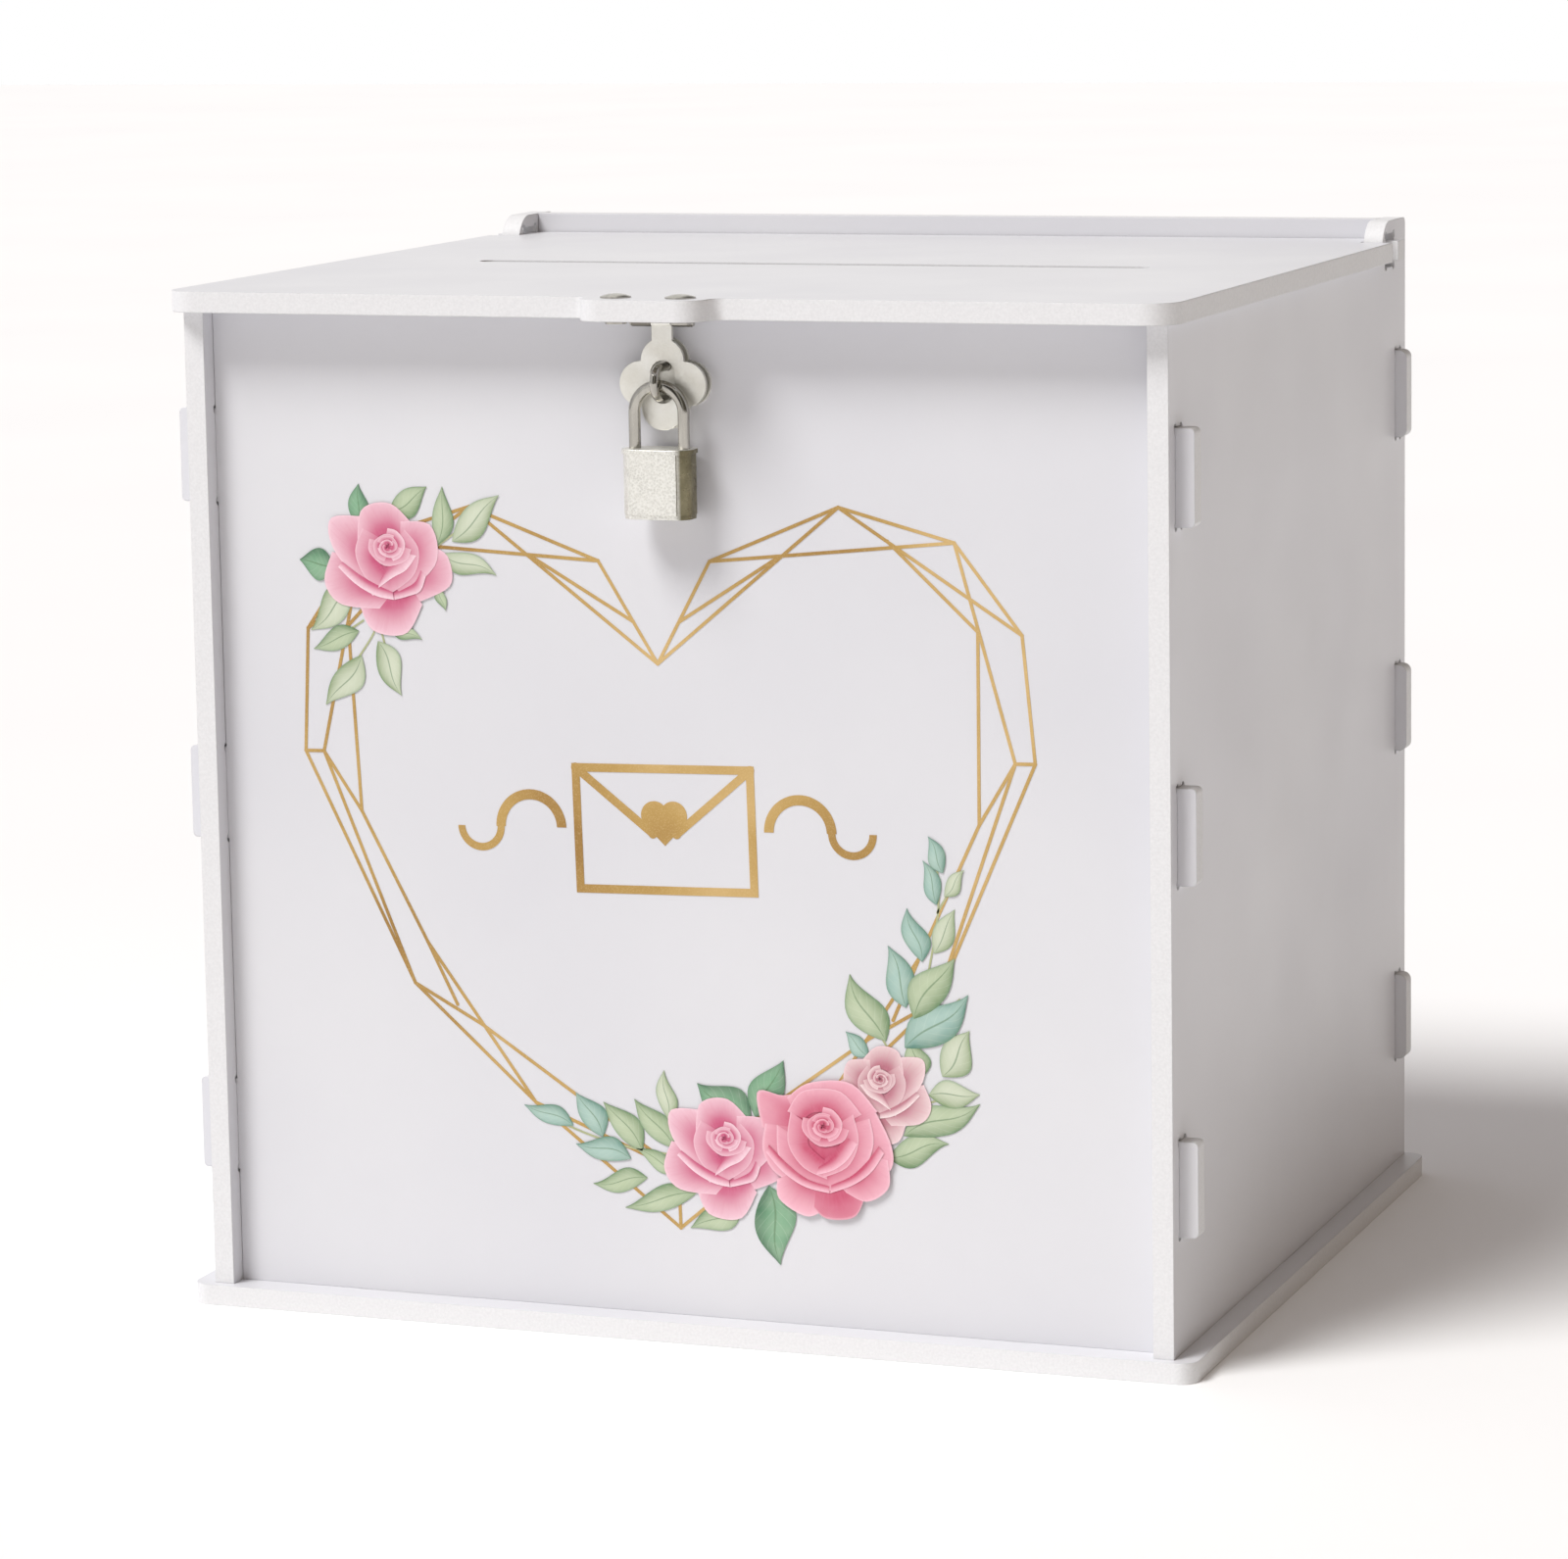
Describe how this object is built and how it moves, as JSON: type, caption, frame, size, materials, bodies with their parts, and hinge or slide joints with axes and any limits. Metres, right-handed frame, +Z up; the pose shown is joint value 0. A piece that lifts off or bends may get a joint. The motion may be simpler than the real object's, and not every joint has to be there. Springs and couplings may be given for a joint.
{
  "type": "card box",
  "caption": "White foam board card box with a printed heart and roses front, a hinged lid with a card slot, a hasp and a small padlock",
  "frame": {"origin": "middle of the box on the plane of its resting face", "axes": "+X to the right seen from the front, +Y to the back, +Z up; the front panel with the print and the padlock faces -Y"},
  "size_m": [0.255, 0.231, 0.253],
  "materials": {
    "foam_board": "white closed-cell PVC foam board, smooth matt faces and slightly grained cut edges",
    "nickel": "satin nickel plate, fine grain",
    "steel": "bright plated steel wire",
    "brass": "bare brass",
    "gold_ink": "gold-coloured ink film, slight sheen",
    "green_ink": "matt green ink film, watercolour shades",
    "pink_ink": "matt pink ink film, watercolour shades",
    "deep_pink_ink": "matt deep pink ink film, watercolour shades"
  },
  "bodies": {
    "box": {"bottom_panel": "foam_board", "left_side_panel": "foam_board", "right_side_panel": "foam_board", "front_panel": "foam_board", "back_panel": "foam_board", "staple_plate": "nickel", "staple_eye": "steel", "staple_washer": "steel", "staple_screws": "steel", "heart_print": "gold_ink", "envelope_print": "gold_ink", "top_leaves_print": "green_ink", "bottom_leaves_print": "green_ink", "top_rose_print": "pink_ink", "left_rose_print": "pink_ink", "middle_rose_print": "deep_pink_ink", "pale_rose_print": "pink_ink"},
    "lid": {"lid": "foam_board", "tongue_rivets": "steel", "hasp_bracket": "steel", "hasp_pin": "steel"},
    "leaf": {"hasp_leaf": "nickel"},
    "shackle": {"padlock_shackle": "steel"},
    "lock_case": {"padlock_case": "nickel", "padlock_end_cap": "nickel", "shackle_spring": "steel", "plug_clip": "steel"},
    "plug": {"key_plug": "brass", "plug_wafers": "brass"},
    "latch": {"padlock_latch": "brass"}
  },
  "joints": [
    {"name": "lid_hinge", "type": "hinge", "parent": "box", "child": "lid", "pos_m": [0, 0.0915, 0.2455], "axis": [-1, 0, 0], "range_deg": [0, 108]},
    {"name": "hasp_leaf_hinge", "type": "hinge", "parent": "lid", "child": "leaf", "pos_m": [0, -0.1059, 0.24175], "axis": [1, 0, 0], "range_deg": [0, 88]},
    {"name": "padlock_swing", "type": "hinge", "parent": "box", "child": "shackle", "pos_m": [0, -0.109, 0.2272], "axis": [-1, 0, 0], "range_deg": [-2, 80]},
    {"name": "shackle_release", "type": "slide", "parent": "shackle", "child": "lock_case", "axis": [0, 0, -1], "range_m": [0, 0.009], "deforming": ["shackle_spring"]},
    {"name": "key_turn", "type": "hinge", "parent": "lock_case", "child": "plug", "pos_m": [0, -0.109, 0.2], "axis": [0, 0, 1], "range_deg": [0, 90]},
    {"name": "latch_slide", "type": "slide", "parent": "lock_case", "child": "latch", "axis": [1, 0, 0], "range_m": [-0.0016, 0]}
  ],
  "couplings": [
    {"joint": "hasp_leaf_hinge", "follows": "lid_hinge", "ratio": 0.8148},
    {"joint": "key_turn", "follows": "latch_slide", "rad_per_m": -981.75}
  ]
}
